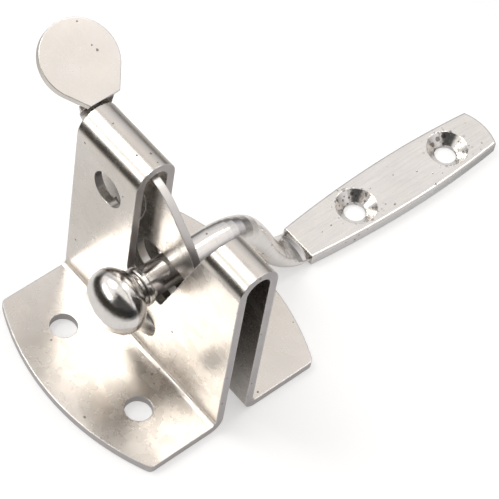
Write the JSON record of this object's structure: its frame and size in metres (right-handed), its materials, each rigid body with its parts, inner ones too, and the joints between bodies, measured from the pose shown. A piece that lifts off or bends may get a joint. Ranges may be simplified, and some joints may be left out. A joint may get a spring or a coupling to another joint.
{
  "type": "gate latch",
  "caption": "Self-latching gate latch: folded sheet body with a notched ridge, a pivoting hook pawl with a round thumb tab, and a cranked striker bar with a ball end.",
  "frame": {"origin": "centre of the latch body's mounting face, in the middle of its four screw holes", "axes": "+X along the ridge away from the thumb tab, +Y along the striker from its ball to its plate, +Z out of the mounting face"},
  "size_m": [0.0567, 0.1021, 0.0501],
  "materials": {
    "body_zinc": "bright zinc plate",
    "rivet_zinc": "bright zinc plate",
    "pawl_zinc": "bright zinc plate",
    "striker_zinc": "zinc plate over a ground bar"
  },
  "bodies": {
    "base": {"latch_body": "body_zinc", "pivot_rivet": "rivet_zinc"},
    "pawl": {"pawl": "pawl_zinc"},
    "striker": {"striker": "striker_zinc"}
  },
  "joints": [
    {"name": "pawl_hinge", "type": "hinge", "parent": "base", "child": "pawl", "pos_m": [-0.0003, 0, 0.0092], "axis": [0, -1, 0], "range_deg": [0, 40]},
    {"name": "striker_slide", "type": "slide", "parent": "base", "child": "striker", "axis": [0, 1, 0], "range_m": [-0.0035, 0.001]}
  ]
}
